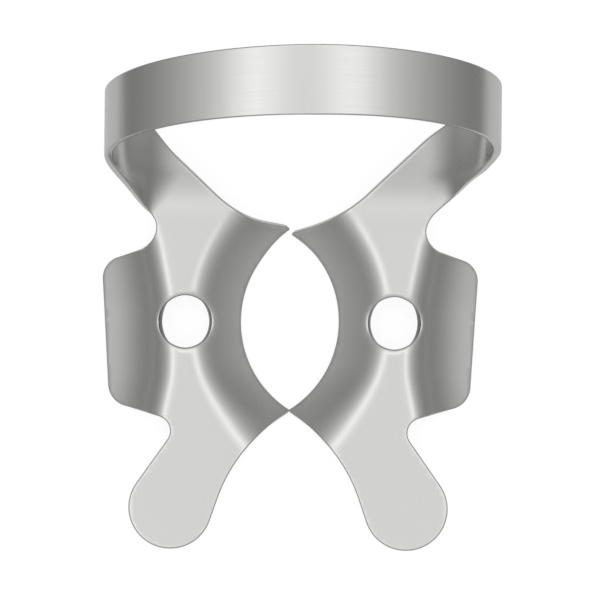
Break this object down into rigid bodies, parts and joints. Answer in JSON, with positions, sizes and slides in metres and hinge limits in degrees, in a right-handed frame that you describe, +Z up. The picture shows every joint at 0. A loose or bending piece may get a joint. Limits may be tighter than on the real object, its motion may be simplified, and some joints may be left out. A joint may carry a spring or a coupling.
{
  "type": "rubber dam clamp",
  "caption": "Winged rubber dam clamp in brushed stainless spring steel: bow, forceps holes, curved jaws, side wings and round-ended front wings.",
  "frame": {"origin": "middle of the tooth opening between the two jaws, at the mid-plane of the flat jaw sheet", "axes": "+X across the tooth from jaw to jaw, +Y towards the bow (towards the back of the mouth), +Z up, away from the gum"},
  "size_m": [0.0237, 0.0297, 0.0143],
  "materials": {
    "steel": "brushed along the strip, satin"
  },
  "bodies": {
    "root": {"clamp": "steel"}
  },
  "joints": []
}
